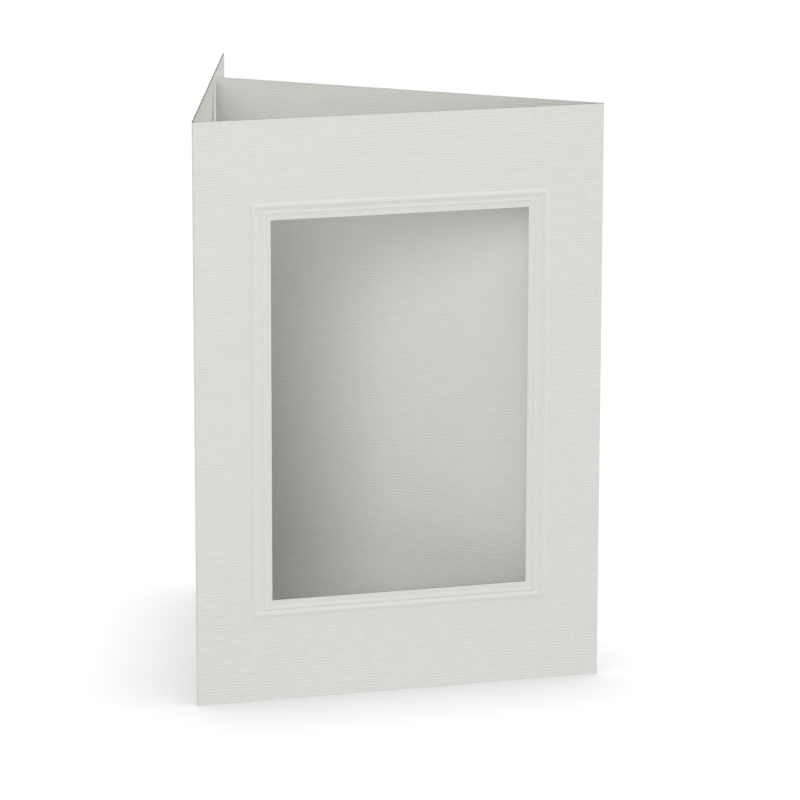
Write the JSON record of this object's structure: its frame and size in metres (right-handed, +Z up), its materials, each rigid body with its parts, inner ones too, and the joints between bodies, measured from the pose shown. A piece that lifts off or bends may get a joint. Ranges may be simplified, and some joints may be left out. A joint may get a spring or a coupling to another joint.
{
  "type": "passe-partout card",
  "caption": "Folded greeting card of linen-embossed card stock: a front panel with a rectangular picture window in an embossed frame, a backing flap and a back panel.",
  "frame": {"origin": "middle of the standing card's footprint, on the surface it stands on", "axes": "+Z up along the folds, the front panel with the window looks towards -Y, +X to the viewer's right"},
  "size_m": [0.12, 0.114, 0.169],
  "materials": {
    "card_stock": "matt uncoated linen emboss, warm pearl grey"
  },
  "bodies": {
    "root": {"folded_card": "card_stock"}
  },
  "joints": []
}
